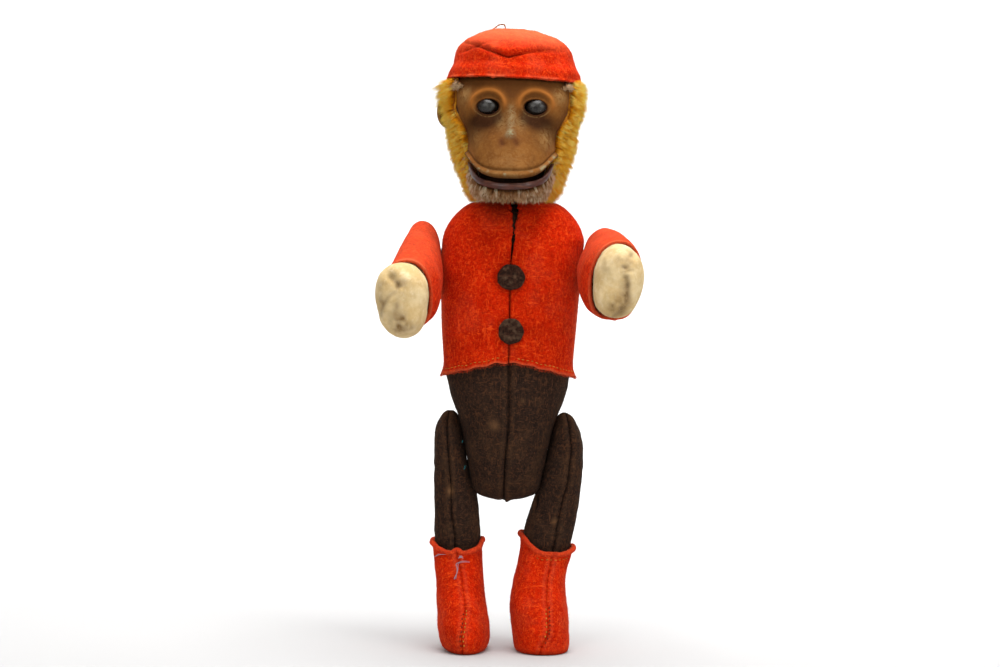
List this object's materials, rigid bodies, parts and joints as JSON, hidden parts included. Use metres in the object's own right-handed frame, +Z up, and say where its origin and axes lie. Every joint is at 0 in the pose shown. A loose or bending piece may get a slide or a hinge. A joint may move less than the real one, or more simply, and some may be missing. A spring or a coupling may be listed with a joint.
{
  "type": "clockwork felt monkey figure",
  "caption": "Standing wood-wool-stuffed felt monkey in a page-boy cap, jacket and boots, with disc-jointed limbs, hinged jaw and a hidden spring motor that beats the arms in turn.",
  "frame": {"origin": "on the floor at the middle of the figure's footprint in plan (between hands in front and key behind)", "axes": "+Z up through the cap, -Y the way the figure faces, +X its own left side"},
  "size_m": [0.124, 0.1246, 0.3021],
  "materials": {
    "red_felt": "matt wool felt, slightly lifted nap, worn and faded at the edges",
    "dark_felt": "matt dark brown wool felt with pale lint",
    "cream_felt": "matt cream felt with brown and grey stains",
    "mask_felt": "stiffened pressed felt, shaded with sprayed colour, rubbed pale at the edges",
    "gold_mohair": "short golden mohair plush, brushed outwards",
    "grey_mohair": "short white and brown mohair, slightly curled",
    "lip_leather": "dark red-brown varnished leather cloth, worn gloss",
    "eye_glass": "opaque near-black glass, polished",
    "card": "pressed board, matt",
    "pulp": "moulded paper pulp, matt",
    "wood_wool": "firmly packed wood wool",
    "steel": "bright drawn steel",
    "brass": "stamped brass, slightly dulled",
    "tin": "plain tinplate",
    "copper_wire": "coppered thin wire"
  },
  "bodies": {
    "torso": {"body_skin_left": "dark_felt", "body_skin_right": "dark_felt", "wood_wool_stuffing": "wood_wool", "motor_case": "tin", "motor_case_base": "tin", "movement_front_plate": "brass", "movement_back_plate": "brass", "mainspring": "steel", "rocker_screw": "steel", "jacket_left_front": "red_felt", "jacket_right_front": "red_felt", "jacket_back": "red_felt", "upper_button": "dark_felt", "lower_button": "dark_felt", "neck_disc_lower": "card", "neck_pin": "steel", "left_shoulder_bush": "brass", "right_shoulder_bush": "brass", "left_hip_disc_inner": "card", "right_hip_disc_inner": "card", "left_hip_pin": "steel", "right_hip_pin": "steel"},
    "great_wheel_unit": {"great_wheel": "brass", "click_screw": "steel"},
    "click_pawl": {"click": "steel"},
    "key_and_arbor": {"winding_key": "brass", "winding_arbor": "steel"},
    "second_unit": {"second_wheel": "brass"},
    "crank_unit": {"crank_wheel": "brass"},
    "governor_unit": {"governor_fly": "brass"},
    "rocker": {"rocker_beam": "steel"},
    "left_arm": {"left_sleeve": "red_felt", "left_hand": "cream_felt", "left_arm_disc": "card", "left_arm_shaft": "steel"},
    "right_arm": {"right_sleeve": "red_felt", "right_hand": "cream_felt", "right_arm_disc": "card", "right_arm_shaft": "steel"},
    "left_leg": {"left_trouser_leg": "dark_felt", "left_boot": "red_felt", "left_hip_disc_outer": "card"},
    "right_leg": {"right_trouser_leg": "dark_felt", "right_boot": "red_felt", "right_hip_disc_outer": "card"},
    "head": {"face_mask": "mask_felt", "head_core": "pulp", "left_eye": "eye_glass", "right_eye": "eye_glass", "mohair_hood": "gold_mohair", "left_ear": "mask_felt", "right_ear": "mask_felt", "cap_band": "red_felt", "cap_crown": "red_felt", "cap_loop": "copper_wire", "neck_disc_upper": "card", "jaw_pin": "steel"},
    "jaw": {"jaw_core": "pulp", "chin_mohair": "grey_mohair", "jaw_lip": "lip_leather"}
  },
  "joints": [
    {"name": "great_wheel_turn", "type": "hinge", "parent": "torso", "child": "great_wheel_unit", "pos_m": [0, 0.0165, 0.181], "axis": [0, 1, 0], "continuous": true},
    {"name": "click_lift", "type": "hinge", "parent": "great_wheel_unit", "child": "click_pawl", "pos_m": [0.00323, 0.0165, 0.1727], "axis": [0, 1, 0], "range_deg": [0, 12]},
    {"name": "key_wind", "type": "hinge", "parent": "great_wheel_unit", "child": "key_and_arbor", "pos_m": [0, 0.0165, 0.181], "axis": [0, 1, 0], "continuous": true},
    {"name": "second_turn", "type": "hinge", "parent": "torso", "child": "second_unit", "pos_m": [-0.004, 0.0165, 0.16335], "axis": [0, 1, 0], "continuous": true},
    {"name": "crank_turn", "type": "hinge", "parent": "torso", "child": "crank_unit", "pos_m": [0, 0.0165, 0.1509], "axis": [0, 1, 0], "continuous": true},
    {"name": "governor_turn", "type": "hinge", "parent": "torso", "child": "governor_unit", "pos_m": [0.0117, 0.0165, 0.15403], "axis": [0, 1, 0], "continuous": true},
    {"name": "left_arm_swing", "type": "hinge", "parent": "torso", "child": "left_arm", "pos_m": [0, 0.0165, 0.191], "axis": [1, 0, 0], "range_deg": [-6.8, 14.8]},
    {"name": "right_arm_swing", "type": "hinge", "parent": "torso", "child": "right_arm", "pos_m": [0, 0.0165, 0.191], "axis": [1, 0, 0], "range_deg": [-14.8, 6.8]},
    {"name": "rocker_tilt", "type": "hinge", "parent": "torso", "child": "rocker", "pos_m": [0, 0.0165, 0.187], "axis": [0, 1, 0], "range_deg": [-4.4, 9.4]},
    {"name": "left_hip", "type": "hinge", "parent": "torso", "child": "left_leg", "pos_m": [0.03, 0.0165, 0.1], "axis": [1, 0, 0], "range_deg": [-95, 20]},
    {"name": "right_hip", "type": "hinge", "parent": "torso", "child": "right_leg", "pos_m": [-0.03, 0.0165, 0.1], "axis": [1, 0, 0], "range_deg": [-95, 20]},
    {"name": "neck_swivel", "type": "hinge", "parent": "torso", "child": "head", "pos_m": [0, 0.0165, 0.216], "axis": [0, 0, 1], "range_deg": [-80, 80]},
    {"name": "jaw_hinge", "type": "hinge", "parent": "head", "child": "jaw", "pos_m": [0, 0.006, 0.229], "axis": [1, 0, 0], "range_deg": [0, 5]}
  ],
  "couplings": [
    {"joint": "great_wheel_turn", "follows": "crank_turn", "ratio": 0.0625},
    {"joint": "second_turn", "follows": "crank_turn", "ratio": -0.25},
    {"joint": "governor_turn", "follows": "crank_turn", "ratio": -4},
    {"joint": "right_arm_swing", "follows": "left_arm_swing", "ratio": -1},
    {"joint": "rocker_tilt", "follows": "left_arm_swing", "ratio": 0.6224}
  ]
}
